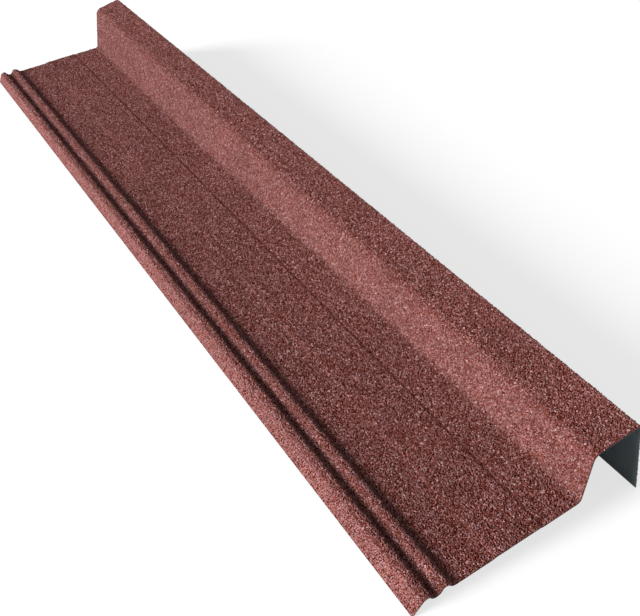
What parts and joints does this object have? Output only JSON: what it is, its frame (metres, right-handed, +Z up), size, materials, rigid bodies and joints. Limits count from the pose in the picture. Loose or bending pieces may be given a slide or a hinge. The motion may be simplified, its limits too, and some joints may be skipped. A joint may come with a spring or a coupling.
{
  "type": "side flashing",
  "caption": "Long folded side flashing of granule-coated sheet: flat pan with a beaded, turned-down lip along one side and a raised hat with a cover leg along the other.",
  "frame": {"origin": "centre of the floor area that the part covers, at the floor it lies on", "axes": "+Y along the length from the low, wide end of the hat to its high end; +X across, from the lip to the leg; +Z up"},
  "size_m": [0.279, 1.25, 0.1156],
  "materials": {
    "granule_coated_sheet": "matt brown-red stone granules above, smooth dark grey-blue back coat below"
  },
  "bodies": {
    "root": {"side_flashing": "granule_coated_sheet"}
  },
  "joints": []
}
